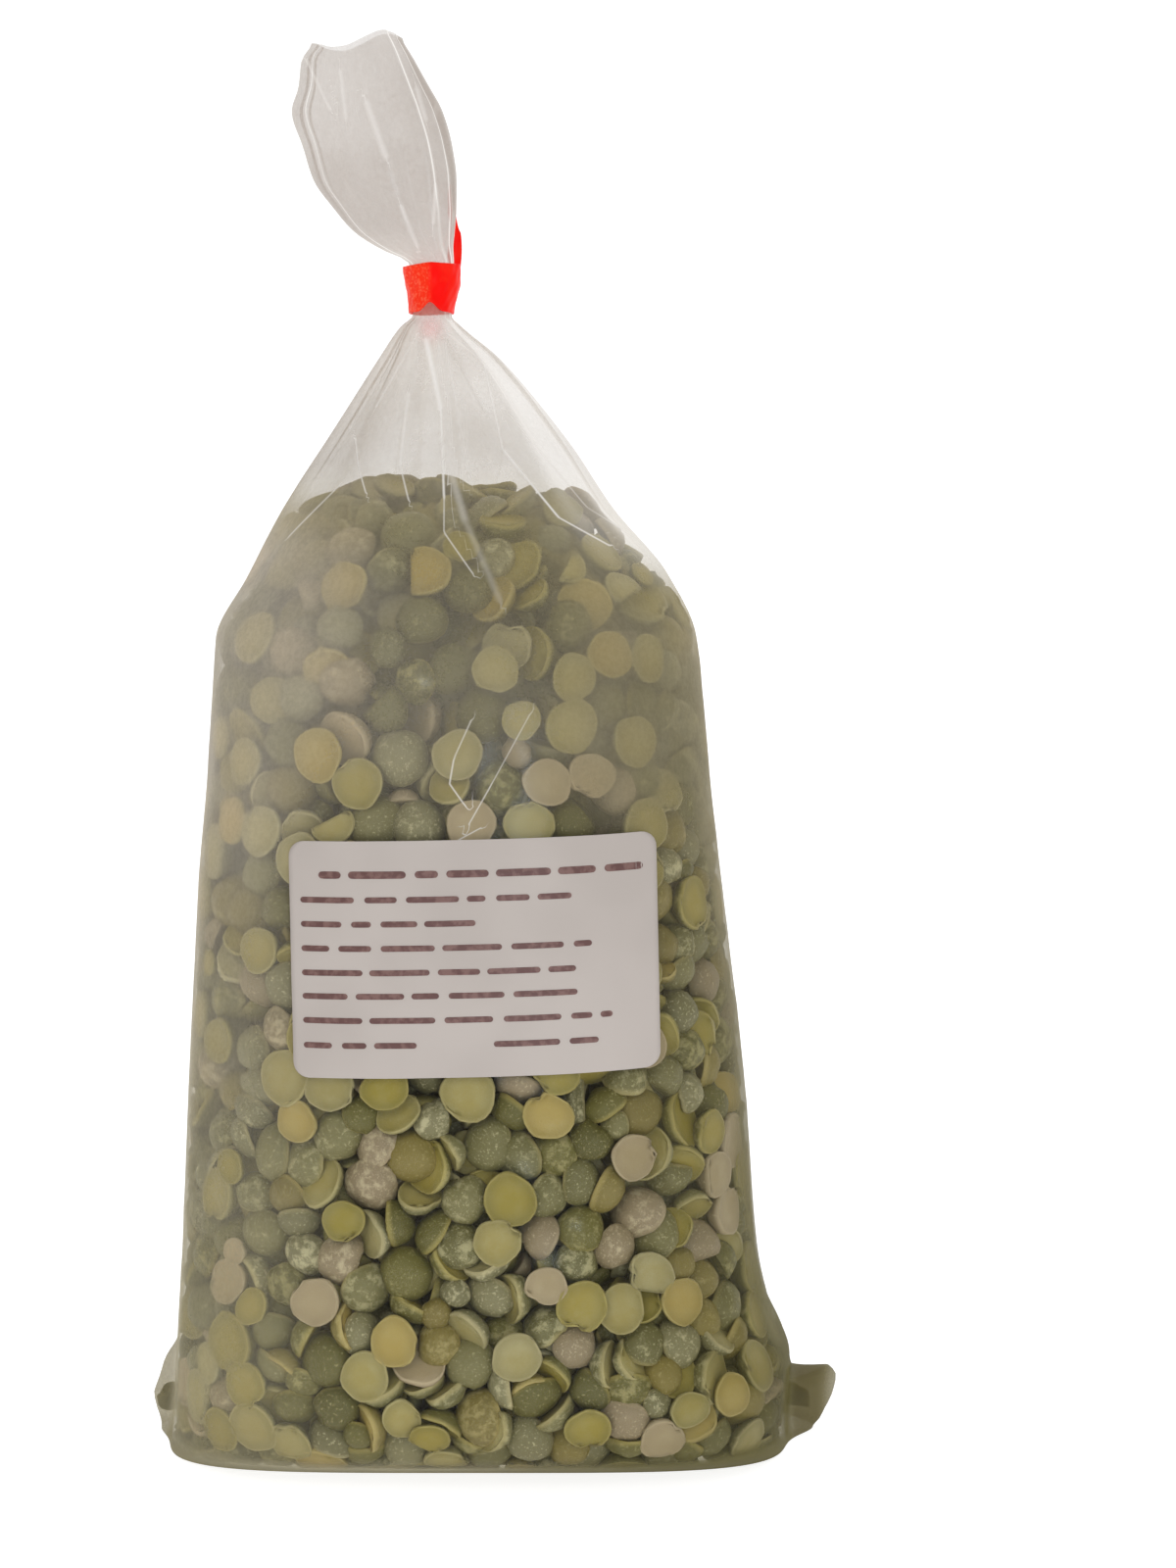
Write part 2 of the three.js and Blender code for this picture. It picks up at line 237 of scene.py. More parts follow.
def settle(centre, turn, radius):
    """The peas swell from about half size to full size, push each other apart, drift down and out to the film
    and turn as they touch, until they lie still."""
    count = len(centre)
    owner = np.repeat(np.arange(count), len(BALLS))
    for round_number in range(SETTLE_ROUNDS):
        grown = radius * (START_SIZE + GROWTH * min(1.0, round_number / SWELL_ROUNDS))
        if round_number % PAIR_ROUNDS == 0:
            a, b = near_pairs(centre, turn, grown, PAIR_MARGIN)
        arms = (np.einsum("nij,kj->nki", turn, ball_places) * grown[:, None, None]).reshape(-1, 3)
        balls = centre[owner] + arms
        sizes = (ball_sizes[None, :] * grown[:, None]).ravel()
        inertia = INERTIA * grown ** 2
        # touching balls
        between = balls[a] - balls[b]
        gap = np.linalg.norm(between, axis=1)
        overlap = sizes[a] + sizes[b] - gap
        hit = overlap > 0
        i, j, push, way = a[hit], b[hit], overlap[hit], between[hit] / np.maximum(gap[hit], 1e-9)[:, None]
        lever_i, lever_j = np.cross(arms[i], way), np.cross(arms[j], way)
        give_i = 1 + (lever_i ** 2).sum(1) / inertia[owner[i]]
        give_j = 1 + (lever_j ** 2).sum(1) / inertia[owner[j]]
        push = push / (give_i + give_j)
        # the film, the floor and the depth past which no peas are made
        depth, out = place_inside(balls)
        tight = sizes + FILM_GAP - depth
        deep = depth - SHELL + (SHELL - TOP_SHELL) * smooth(*TOP_SLOPE, out[:, 2])
        wall = np.nonzero((tight > 0) | (deep > 0))[0]
        wall_push = np.where(tight[wall] > 0, tight[wall], -deep[wall])
        wall_way = -out[wall]
        wall_lever = np.cross(arms[wall], wall_way)
        wall_push = wall_push / (1 + (wall_lever ** 2).sum(1) / inertia[owner[wall]])
        bodies = np.concatenate([owner[i], owner[j], owner[wall]])
        pushes = np.concatenate([push[:, None] * way, -push[:, None] * way, wall_push[:, None] * wall_way])
        levers = np.concatenate([push[:, None] * lever_i, -push[:, None] * lever_j,
                                 wall_push[:, None] * wall_lever])
        touches = np.bincount(bodies, minlength=count)
        calm = 0.65 + 0.35 * np.maximum(touches, 1)
        move = np.stack([np.bincount(bodies, pushes[:, k], count) for k in range(3)], -1) / calm[:, None]
        spin = np.stack([np.bincount(bodies, levers[:, k], count) for k in range(3)], -1)
        spin /= (calm * inertia)[:, None]
        if round_number < SETTLE_ROUNDS - REST_ROUNDS:
            depth, out = place_inside(centre)
            pull = DRIFT_OUT * ((depth < DRIFT_DEPTH) & (out[:, 2] < 0.7))
            move += pull[:, None] * out - [0, 0, DRIFT_DOWN]
        centre = centre + np.clip(move * HASTE, -LONGEST_STEP, LONGEST_STEP)
        turn = turns_from(np.clip(spin * HASTE, -WIDEST_TURN, WIDEST_TURN)) @ turn
    return centre, turn


START_DEPTH = 2.2  # the peas' middles start at least this far inside
SMALLEST_PEA, LARGEST_PEA = 2.9, 4.4
FRAGMENT_SHARE, SMALLEST_FRAGMENT = 0.06, 2.1
FACE_OUT_SHARE = 0.2  # about this share starts with the cut face towards the film,
DOME_OUT_SHARE = 0.25  # this share with the dome, and the rest any way
spots = np.argwhere((inside > START_DEPTH) & (inside < SHELL - 1))
room = ((inside > FILM_GAP) & (inside < SHELL)).sum() * CELL ** 3
pea_count = int(FILLING * room / (PEA_VOLUME * PEA_RADIUS ** 3))
spots = spots[draw.integers(0, len(spots), pea_count)]
centre = LATTICE_LOW + CELL * (spots + draw.uniform(-0.5, 0.5, (pea_count, 3)))
radius = np.clip(draw.normal(PEA_RADIUS, RADIUS_SPREAD, pea_count), SMALLEST_PEA, LARGEST_PEA)
fragment = draw.uniform(size=pea_count) < FRAGMENT_SHARE
radius = np.where(fragment, draw.uniform(SMALLEST_FRAGMENT, SMALLEST_PEA, pea_count), radius)
depth, out = place_inside(centre)
towards = draw.normal(size=(pea_count, 3))
lot = draw.uniform(size=pea_count)
face_out = lot < FACE_OUT_SHARE
dome_out = (lot > FACE_OUT_SHARE) & (lot < FACE_OUT_SHARE + DOME_OUT_SHARE)
towards = np.where(face_out[:, None], -out * 1.8 + towards * 0.8, towards)
towards = np.where(dome_out[:, None], out * 1.5 + towards * 0.8, towards)
towards /= np.linalg.norm(towards, axis=1, keepdims=True)
turn = turned_to(towards, draw.uniform(0, 2 * math.pi, pea_count))
centre, turn = settle(centre, turn, radius)

# A few peas have slipped into the bag's lower corners: place, radius and the way that the dome faces.
CORNER_SPIN = 0.4
CORNER_STARTS = 46.8  # further out than this the bag's section is pulled out into its ears
CORNER_PEAS = [
    [(47.6, 0.4, 3.8), 2.9, (-0.25, -1.0, 0.2)],
    [(-47.2, 0.3, 4.6), 2.4, (0.3, -1.0, 0.3)],
]
for place, size, facing in CORNER_PEAS:
    facing = np.array([facing]) / np.linalg.norm(facing)
    centre = np.vstack([centre, [place]])
    radius = np.append(radius, size)
    turn = np.vstack([turn, turned_to(facing, np.array([CORNER_SPIN]))])


def pea_grid(around, flat_rings, dome_angles):
    """The points and triangles of one half pea, from the middle of its cut face out to the rim and over the
    dome. Each point: ring radius, height, angle, and how much it belongs to the cut face and to its rim."""
    rings = [(r, z, face, rim) for r, z, face, rim in flat_rings]
    rings += [(math.cos(a), 0.05 + 0.83 * math.sin(a), 0, 0) for a in dome_angles]
    rows = [(0, 0.02, 0, 1, 0)]
    for k, (r, z, face, rim) in enumerate(rings):
        rows += [(r, z, 2 * math.pi * (i + 0.5 * (k % 2)) / around, face, rim) for i in range(around)]
    rows.append((0, 0.88, 0, 0, 0))
    fans = []
    for i in range(around):
        after = (i + 1) % around
        fans.append((0, 1 + after, 1 + i))
        for k in range(len(rings) - 1):
            low, high = 1 + k * around, 1 + (k + 1) * around
            shift = k % 2  # every second ring is turned by half a step
            upper, upper_after = (i + shift) % around, (after + shift) % around
            fans.append((low + i, low + after, high + (upper if shift else upper_after)))
            fans.append((low + (after if shift else i), high + upper_after, high + upper))
        top = 1 + (len(rings) - 1) * around
        fans.append((top + i, top + after, len(rows) - 1))
    return np.array(rows), np.array(fans)


NEAR_GRID = pea_grid(20, [(0.32, 0.015, 1, 0), (0.62, 0.01, 1, 0), (0.84, 0.0, 1, 0), (0.915, -0.01, 1, 0.2),
                          (0.96, -0.035, 0.8, 1), (1.0, 0.04, 0.1, 0.9)], np.radians([13, 30, 49, 69]))
FAR_GRID = pea_grid(10, [(0.6, 0.015, 1, 0), (0.92, -0.02, 0.7, 0.8), (1.0, 0.05, 0, 0.6)],
                    np.radians([28, 58]))
NEAR_DEPTH = 4.6  # peas whose middle lies no deeper than this behind the film show whole,
NEAR_TOP = 7  # and so do those no deeper than this under the heap's top
NICKED_SHARE = 0.6
CHIPPED_SHARE = 0.09
ANY_WAY = 6.28  # a whole turn


def shaped_peas(grid, chosen):
    """The points of each chosen pea, no two alike: oval, nicked where the root tip sat, chipped or dented."""
    r, z, angle, face, rim = grid[0].T[:, None, :]
    count = len(chosen)

    def lot(low, high):
        return shape_draw.uniform(low, high, (count, 1))

    # an outline that isn't quite round, with a nick and a small bump beside it
    outline = 1 + 0.045 * np.cos(2 * angle + lot(0, ANY_WAY)) * lot(0, 1)
    outline = outline + 0.03 * np.cos(3 * angle + lot(0, ANY_WAY))
    outline += 0.018 * np.cos(5 * angle + lot(0, ANY_WAY)) + 0.012 * np.cos(7 * angle + lot(0, ANY_WAY))
    nick_at, nick_wide = lot(0, ANY_WAY), lot(0.13, 0.3)
    nick_deep = np.where(lot(0, 1) < NICKED_SHARE, lot(0.08, 0.26), 0)
    off = (angle - nick_at + math.pi) % (2 * math.pi) - math.pi
    outward = smooth(0.3, 1, r)
    outline -= nick_deep * np.exp(-(off / nick_wide) ** 2) * outward
    bump_off = (off - 1.7 * nick_wide) / (0.7 * nick_wide)
    outline += 0.3 * nick_deep * np.exp(-bump_off ** 2) * outward
    x = r * outline * np.cos(angle) * lot(0.95, 1.04)
    y = r * outline * np.sin(angle) * lot(0.86, 1.0)
    # a dome that leans and is a little dented, a cut face that is hollow or full, and a wavy rim
    dome = 1 - face
    lean, leaning = lot(0, ANY_WAY), lot(0, 0.22)
    z = z * lot(0.86, 1.06) * (1 + leaning * (x * np.cos(lean) + y * np.sin(lean)))
    dents = dome * 0.035 * np.sin(5 * x + lot(0, ANY_WAY)) * np.sin(5 * y + lot(0, ANY_WAY))
    z = z + dents * smooth(0.05, 0.5, z)
    z = z + face * (lot(-0.06, 0.1) * (1 - r ** 2) + 0.012 * np.sin(4 * x + lot(0, ANY_WAY)) * np.cos(4 * y))
    z = z + rim * 0.02 * np.sin(angle * 3 + lot(0, ANY_WAY))
    # some are chipped: all beyond a line is gone
    chip_way, chip_at = lot(0, ANY_WAY), np.where(lot(0, 1) < CHIPPED_SHARE, lot(0.1, 0.75), 2)
    beyond = np.maximum(x * np.cos(chip_way) + y * np.sin(chip_way) - chip_at - 0.05 * np.sin(9 * z), 0)
    x, y = x - beyond * np.cos(chip_way), y - beyond * np.sin(chip_way)
    points = np.stack([x, y, z - MIDDLE], -1) * radius[chosen][:, None, None]
    return np.einsum("nij,nkj->nki", turn[chosen], points) + centre[chosen][:, None]


def mesh_piece(name, points, faces, marks=()):
    """A smooth mesh object from arrays, with its points in millimetres and marks as named point values."""
    mesh = bpy.data.meshes.new(name)
    size = faces.shape[1]
    mesh.vertices.add(len(points))
    mesh.vertices.foreach_set("co", (points * MM).astype(np.float32).ravel())
    mesh.loops.add(faces.size)
    mesh.loops.foreach_set("vertex_index", faces.astype(np.int32).ravel())
    mesh.polygons.add(len(faces))
    mesh.polygons.foreach_set("loop_start", np.arange(0, faces.size, size, dtype=np.int32))
    mesh.polygons.foreach_set("loop_total", np.full(len(faces), size, np.int32))
    for mark, values in marks:
        mesh.attributes.new(mark, "FLOAT", "POINT").data.foreach_set("value", values.astype(np.float32))
    mesh.update(calc_edges=True)
    mesh.shade_smooth()
    made = bpy.data.objects.new(name, mesh)
    bpy.context.scene.collection.objects.link(made)
    return made


def paint(red, green, blue):
    """A colour as seen on a screen, 0 to 255, as the shaders take it."""
    channels = [c / 255 for c in (red, green, blue)]
    return (*[c / 12.92 if c <= 0.04045 else ((c + 0.055) / 1.055) ** 2.4 for c in channels], 1)


def node(tree, kind, settings=(), **inputs):
    """A node with its settings, and its inputs set to values or linked to other nodes' outputs."""
    made = tree.nodes.new(kind)
    for name, value in dict(settings).items():
        setattr(made, name, value)
    for name, value in inputs.items():
        socket = made.inputs[int(name[1:]) if name[1:].isdigit() else name.replace("_", " ")]
        if isinstance(value, bpy.types.NodeSocket):
            tree.links.new(value, socket)
        else:
            socket.default_value = value
    return made


def mixed(tree, share, first, second):
    """Two colours mixed by a share."""
    mix = node(tree, "ShaderNodeMix", {"data_type": "RGBA"}, i0=share, i6=first, i7=second)
    return mix.outputs[2]


def computed(tree, way, *values):
    """The result of a sum, a product or another way to compute."""
    inputs = {f"i{k}": value for k, value in enumerate(values)}
    return node(tree, "ShaderNodeMath", {"operation": way}, **inputs).outputs[0]


def ranged(tree, value, low, high, start=0.0, end=1.0):
    """A value between low and high, led softly from start to end."""
    return node(tree, "ShaderNodeMapRange", {"interpolation_type": "SMOOTHSTEP"}, i0=value, i1=low, i2=high,
                i3=start, i4=end).outputs[0]


def noise(tree, scale, detail=2.0, roughness=0.5):
    """Fine patches that stay with the piece. The scale is for metres."""
    place = node(tree, "ShaderNodeTexCoord").outputs["Object"]
    return node(tree, "ShaderNodeTexNoise", Vector=place, Scale=scale, Detail=detail,
                Roughness=roughness).outputs[0]


def mark_on(tree, name):
    """The value of a mesh's own mark."""
    return node(tree, "ShaderNodeAttribute", {"attribute_name": name}).outputs["Fac"]


def material_on(piece, name):
    """A new material on a piece: its node tree and the inputs of its Principled shader."""
    material = bpy.data.materials.new(name)
    material.use_nodes = True
    piece.data.materials.append(material)
    tree = material.node_tree
    return tree, tree.nodes["Principled BSDF"].inputs


# Pea flour rubbed off in the sack: pale clouds and specks over the domes, finer on the cut faces.
pea_flour = bpy.data.node_groups.new("Pea flour", "ShaderNodeTree")
pea_flour.interface.new_socket("Amount", in_out="INPUT", socket_type="NodeSocketFloat")
pea_flour.interface.new_socket("Each pea", in_out="INPUT", socket_type="NodeSocketFloat")
pea_flour.interface.new_socket("Cover", in_out="OUTPUT", socket_type="NodeSocketFloat")
pea_flour.interface.new_socket("Height", in_out="OUTPUT", socket_type="NodeSocketFloat")
given = pea_flour.nodes.new("NodeGroupInput")
clouds = noise(pea_flour, 640.0, 5.0, 0.68)
specks = noise(pea_flour, 2700.0, 3.0, 0.6)
level = computed(pea_flour, "MULTIPLY_ADD", given.outputs["Each pea"], 0.26, 0.42)
cover = ranged(pea_flour, clouds, level, computed(pea_flour, "ADD", level, 0.17))
dots = ranged(pea_flour, specks, 0.58, 0.66)
cover = computed(pea_flour, "MAXIMUM", cover, computed(pea_flour, "MULTIPLY", dots, 0.9))
taken = pea_flour.nodes.new("NodeGroupOutput")
pea_flour.links.new(computed(pea_flour, "MULTIPLY", cover, given.outputs["Amount"]), taken.inputs["Cover"])
pea_flour.links.new(computed(pea_flour, "MULTIPLY_ADD", specks, 0.5, clouds), taken.inputs["Height"])


PEA_MARKS = ("cut_face", "rim", "ring", "each_pea", "each_hue")


def paint_peas(peas, dome, dome_other, flat, flat_other, rim, flour, amount):
    """A skin of pea flour on the dome, and a cleaner cut face with a pale rim. No two peas have one hue."""
    tree, surface = material_on(peas, peas.name)
    face, edge, ring, each, other = (mark_on(tree, mark) for mark in PEA_MARKS)
    dust = node(tree, "ShaderNodeGroup", {"node_tree": pea_flour}, Amount=amount)
    tree.links.new(each, dust.inputs["Each pea"])
    soft = noise(tree, 260.0)
    skin = mixed(tree, other, paint(*dome), paint(*dome_other))
    skin = mixed(tree, dust.outputs["Cover"], skin, paint(*flour))
    cut = mixed(tree, each, paint(*flat), paint(*flat_other))
    cut = mixed(tree, computed(tree, "MULTIPLY", ranged(tree, soft, 0.4, 0.7), 0.25), cut, paint(*flour))
    cut = mixed(tree, computed(tree, "MULTIPLY", dust.outputs["Cover"], 0.28), cut, paint(*flour))
    cut = mixed(tree, computed(tree, "MULTIPLY", ranged(tree, ring, 0.35, 1.0), 0.4), cut, paint(*dome))
    colour = mixed(tree, face, skin, cut)
    colour = mixed(tree, computed(tree, "MULTIPLY", edge, 0.6), colour, paint(*rim))
    rough = computed(tree, "MULTIPLY_ADD", dust.outputs["Cover"], 0.2, 0.52)
    bump = node(tree, "ShaderNodeBump", Strength=0.35, Distance=0.0004, Height=dust.outputs["Height"])
    tree.links.new(colour, surface["Base Color"])
    tree.links.new(rough, surface["Roughness"])
    tree.links.new(bump.outputs[0], surface["Normal"])
    surface["Specular IOR Level"].default_value = 0.4


# Kinds: share of all peas, then the colours of dome, dome, cut face, cut face, rim and flour, and its amount.
PEA_KINDS = {
    "sage_peas": (0.30, (99, 95, 54), (118, 113, 71), (154, 141, 80), (146, 133, 67), (180, 168, 114),
                  (168, 162, 120), 0.85),
    "olive_peas": (0.29, (84, 80, 33), (101, 96, 44), (147, 132, 54), (138, 125, 44), (176, 162, 94),
                   (158, 150, 100), 0.75),
    "dusty_peas": (0.2, (108, 104, 69), (127, 122, 86), (156, 145, 94), (148, 137, 82), (183, 172, 126),
                   (180, 174, 136), 1.0),
    "golden_peas": (0.12, (113, 101, 48), (127, 114, 56), (168, 147, 80), (156, 136, 64), (188, 171, 108),
                    (172, 160, 106), 0.55),
    "pale_peas": (0.09, (142, 127, 99), (132, 118, 87), (164, 148, 116), (152, 136, 99), (187, 171, 137),
                  (184, 171, 138), 0.85),
}
shape_draw = np.random.default_rng(5)
depth, out = place_inside(centre)
near = (depth < NEAR_DEPTH) | (centre[:, 2] > heap_top(centre[:, 0], centre[:, 1]) - NEAR_TOP)
near[-len(CORNER_PEAS):] = True
kind_of = shape_draw.choice(len(PEA_KINDS), len(centre), p=[kind[0] for kind in PEA_KINDS.values()])
kind_of[-len(CORNER_PEAS):] = 1  # olive
each_pea = shape_draw.uniform(size=len(centre))
each_hue = shape_draw.uniform(size=len(centre))
pea_points = []
for number, (name, kind) in enumerate(PEA_KINDS.items()):
    parts, faces, marks, total = [], [], [], 0
    for grid, which in ((NEAR_GRID, near), (FAR_GRID, ~near)):
        chosen = np.nonzero((kind_of == number) & which)[0]
        points = shaped_peas(grid, chosen)
        depth, out = place_inside(points)
        in_corner = np.abs(centre[chosen, :1]) > CORNER_STARTS
        pressed = np.where(in_corner, 0, np.maximum(0.3 + 0.3 * (points[..., 2] < 5) - depth, 0))
        points = points - pressed[..., None] * out  # no pea sticks out through the film
        size = len(grid[0])
        starts = total + size * np.arange(len(chosen))
        faces.append((grid[1][None] + starts[:, None, None]).reshape(-1, 3))
        parts.append(points.reshape(-1, 3))
        own = np.stack([np.tile(grid[0][:, k], len(chosen)) for k in (3, 4, 0)]
                       + [np.repeat(each[chosen], size) for each in (each_pea, each_hue)])
        marks.append(own)
        total += size * len(chosen)
        if grid is NEAR_GRID:
            pea_points.append(points.reshape(-1, 3))
    marks = np.concatenate(marks, 1)
    peas = mesh_piece(name, np.concatenate(parts), np.concatenate(faces),
                      zip(PEA_MARKS, marks))
    paint_peas(peas, *kind[1:])
    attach(peas, "root")
pea_points = np.concatenate(pea_points)

# ---------- The core ----------
# The peas further in can't be seen, so one lumpy dark green body stands for them behind the others. It
# ends at one depth under the film, the base and the heap's top.

CORE_DEPTH = 9.0
CORE_RISE = 3  # it comes this much nearer to the heap's top
CORE_MIDDLE = np.array([0, 0, 66.0])
CORE_WIDE, CORE_DEEP, CORE_TALL = 38, 30, 76  # about half its size, as a start for its rays
CORE_ROWS, CORE_COLUMNS = 70, 96
up = math.pi * (np.arange(1, CORE_ROWS) / CORE_ROWS - 0.5)[:, None]
a = (2 * math.pi * np.arange(CORE_COLUMNS) / CORE_COLUMNS)[None, :]
ray = np.stack([CORE_WIDE * np.cos(up) * np.cos(a), CORE_DEEP * np.cos(up) * np.sin(a),
                CORE_TALL * np.sin(up) + 0 * a], -1)
low, high = np.zeros(ray.shape[:2]), np.full(ray.shape[:2], 1.6)
for _ in range(16):  # halve the stretch of each ray that holds the surface
    half_way = (low + high) / 2
    points = CORE_MIDDLE + half_way[..., None] * ray
    lump = 1.2 * np.sin(0.8 * points[..., 0]) * np.sin(0.8 * points[..., 1] + 1)
    lump = lump * np.sin(0.8 * points[..., 2])
    depth, out = place_inside(points)
    deeper = depth > CORE_DEPTH + lump - CORE_RISE * smooth(*TOP_SLOPE, out[..., 2])
    low, high = np.where(deeper, half_way, low), np.where(deeper, high, half_way)
core_points = CORE_MIDDLE + low[..., None] * ray
ends = np.array([core_points[0].mean(0), core_points[-1].mean(0)])
index = np.arange(core_points.shape[0] * CORE_COLUMNS).reshape(-1, CORE_COLUMNS)
after = np.roll(index, -1, 1)
core_faces = [np.stack([index[:-1], after[:-1], after[1:]], -1).reshape(-1, 3),
              np.stack([index[:-1], after[1:], index[1:]], -1).reshape(-1, 3),
              np.stack([np.full(CORE_COLUMNS, index.size), after[0], index[0]], -1),
              np.stack([np.full(CORE_COLUMNS, index.size + 1), index[-1], after[-1]], -1)]
core = mesh_piece("inner_peas", np.vstack([core_points.reshape(-1, 3), ends]), np.concatenate(core_faces))
tree, surface = material_on(core, "inner_peas")
patches = ranged(tree, noise(tree, 220.0), 0.35, 0.65)
tree.links.new(mixed(tree, patches, paint(84, 76, 34), paint(128, 117, 62)), surface["Base Color"])
surface["Roughness"].default_value = 0.8
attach(core, "root")

# ---------- The film bag ----------
# A clear pillow bag of thin slightly milky film. The peas press it out in small tents, and above them it
# is gathered in pleats to the neck and fans out in the tail. The bag's two lower corners
# stick out as ears.

FILM_COLUMNS = 340
# Both ears: height and how far they stick out.
RIGHT_EAR = np.array([[0, 4.6], [1.6, 5.7], [2.9, 6.3], [4.1, 7.0], [5.2, 7.5], [6.7, 7.8], [7.8, 7.2],
                      [8.6, 6.5], [8.9, 1.5], [9.6, 0.8], [11.3, 0.3], [17, 0.1], [24, 0]])
EAR_LIFT = 1.37  # the right ear's tip is bent up
LEFT_EAR = np.array([[0, 2.4], [1.6, 2.8], [2.9, 3.4], [4.1, 3.8], [5.3, 4.1], [6.5, 3.8], [7.8, 3.4],
                     [10.2, 2.8], [11.4, 2.3], [12.7, 1.5], [13.9, 0.9], [16.3, 0.5], [20, 0.3], [26, 0]])
EAR_REACH = 7.8  # of the right ear's tip
SAG_MOST = 1.7  # how far the film sinks between the peas
STRETCH = 0.3  # and how far single peas push it out
EAR_HALF_THICKNESS = np.array([[0, 5.5], [5, 4], [10, 3]])
film_heights = np.concatenate([[0, 0.3, 0.8], np.arange(1.4, 8.5, 0.8), [8.6, 8.7, 8.8, 8.9],
                               np.arange(9.5, 118, 0.8), np.arange(118, 168, 0.62),
                               np.arange(168, 207, 0.8), [207]])
angles = 2 * math.pi * np.arange(FILM_COLUMNS) / FILM_COLUMNS

# Where the peas hold the film out: the least depth of their points in each cell of the film.
left, right, front, back, square = (along(BAG, pea_points[:, 2], k) for k in range(1, 6))
held_angle = np.arctan2(pea_points[:, 1] / np.where(pea_points[:, 1] < 0, -front, back),
                        (pea_points[:, 0] - (left + right) / 2) / ((right - left) / 2))
column = np.rint(held_angle / (2 * math.pi) * FILM_COLUMNS).astype(int) % FILM_COLUMNS
row = np.clip(np.searchsorted(film_heights, pea_points[:, 2]), 0, len(film_heights) - 1)
sag = np.full((len(film_heights), FILM_COLUMNS), 9.0)  # deeper than any sag where there are no peas
np.minimum.at(sag, (row, column), place_inside(pea_points)[0] - 0.15)
slack = SAG_MOST * (1 - smooth(112, 138, film_heights)) * smooth(0, 3, film_heights)
held = -np.clip(sag, -STRETCH, slack[:, None])
film_rise = held.copy()
for _ in range(90):  # the film spans from pea to pea like a soap skin, a little slack
    mean = (np.roll(film_rise, 1, 1) + np.roll(film_rise, -1, 1)) / 2
    mean[1:-1] = (mean[1:-1] + (film_rise[2:] + film_rise[:-2]) / 2) / 2
    film_rise = np.maximum(held, mean - 0.004)

# Soft creases between the neck and the heap, each a fold that grows upwards.
CREASE_DEPTH = 0.035  # as a share of the radius
crease_draw = np.random.default_rng(21)
creases = np.zeros((len(film_heights), FILM_COLUMNS))
for _ in range(30):
    at, wide, deep = crease_draw.uniform(0, 6.28), crease_draw.uniform(0.08, 0.34), crease_draw.uniform(-1, 1)
    low = crease_draw.uniform(112, 150)
    line = at + crease_draw.uniform(-0.012, 0.012) * (film_heights[:, None] - 150)
    off = np.abs((angles[None, :] - line + math.pi) % (2 * math.pi) - math.pi)
    creases += deep * np.maximum(1 - off / wide, 0) * smooth(low, low + 22, film_heights)[:, None]
creases *= CREASE_DEPTH * smooth(115, 150, film_heights)[:, None]


def film_skin(z, a, out, creases):
    """The film at heights and angles, held out by the peas."""
    left, right, front, back, square = (along(BAG, z, k) for k in range(1, 6))
    reach = (np.abs(np.cos(a)) ** square + np.abs(np.sin(a)) ** square) ** (-1 / square)
    x = (right - left) / 2 * reach * np.cos(a)
    y = np.where(np.sin(a) < 0, -front, back) * reach * np.sin(a)
    scale = (1 - along(PLEATS, z) * (1 - pleat(a)) + creases) * (1 + out / np.hypot(x, y))
    fin = np.exp(-(y / along(EAR_HALF_THICKNESS, z)) ** 2)
    ear = np.where(np.cos(a) > 0, along(RIGHT_EAR, z), -along(LEFT_EAR, z)) * fin
    x = (left + right) / 2 + x * scale + ear
    # the tail's mouth has two tips
    rise = 2.6 * np.exp(-((x + 13.5) / 4) ** 2) + 0.9 * np.exp(-((x + 24) / 2) ** 2)
    lift = EAR_LIFT * (np.maximum(ear, 0) / EAR_REACH) ** 2 * smooth(3, 8, z)
    return np.stack([x, y * scale, z + rise * smooth(196, 207, z) + lift], -1), np.abs(ear)


z = film_heights[:, None] + 0 * angles[None, :]
a = angles[None, :] + 0 * z
side = np.cos(a)  # -1 at the bag's left, 1 at its right
LABEL_Z = 77.2
behind_label = (np.sin(a) < 0) & (np.abs(z - LABEL_Z) < 18.5) & (np.abs(side) < 0.72)
film_rise = np.where(behind_label, np.minimum(film_rise, 0.05), film_rise)
film_rise *= 1 - 0.85 * smooth(0.78, 0.93, np.abs(side))  # taut along both sides
film_points, ear = film_skin(z, a, film_rise, creases)
base = [film_points[0] * [share, share, 1] for share in (0.35, 0.7)]
film_grid = np.concatenate([[base[0]], [base[1]], film_points])

# How milky the film is: hardly in front of the peas' middle, more upwards and most in the tail.
NECK_HEIGHT = 168
below_neck = z < NECK_HEIGHT
haze_and_reflection = 0.015 + 0.36 * smooth(84, 116, z) + 0.04 * smooth(134, 150, z) + 0.16 * smooth(172, 182, z)
haze_and_reflection += 0.12 * (pleat(a) ** 2 - 0.3) * smooth(104, 132, z) * below_neck  # streaks along the pleats
# it is milkier all along its left side, and in a narrow band along its right: a painted reflection where the
# film turns away to the sides
haze_and_reflection += (0.34 * smooth(0.3, 0.78, -side) + 0.36 * smooth(0.86, 0.96, -side)) * (1 - smooth(134, 144, z))
haze_and_reflection += (0.14 * smooth(0.4, 0.7, side) + 0.48 * smooth(0.84, 0.95, side)) * (1 - smooth(112, 126, z))
haze_and_reflection += 0.2 * smooth(0.3, 0.6, side) * smooth(80, 108, z) * (1 - smooth(116, 130, z))
haze_and_reflection += 0.1 * smooth(0.1, 0.9, -side) * smooth(140, 150, z) * below_neck
haze_and_reflection *= 1 - 0.35 * smooth(0.45, 0.85, side) * smooth(127, 135, z) * below_neck
haze_and_reflection = np.minimum(np.maximum(haze_and_reflection, 0.7 * (1 - smooth(2.5, 5.5, z))), np.where(side > 0, 0.83, 0.86))
haze_and_reflection = np.maximum(haze_and_reflection, 0.92 * (1 - smooth(0.9, 2.2, z)))  # the fold along the base
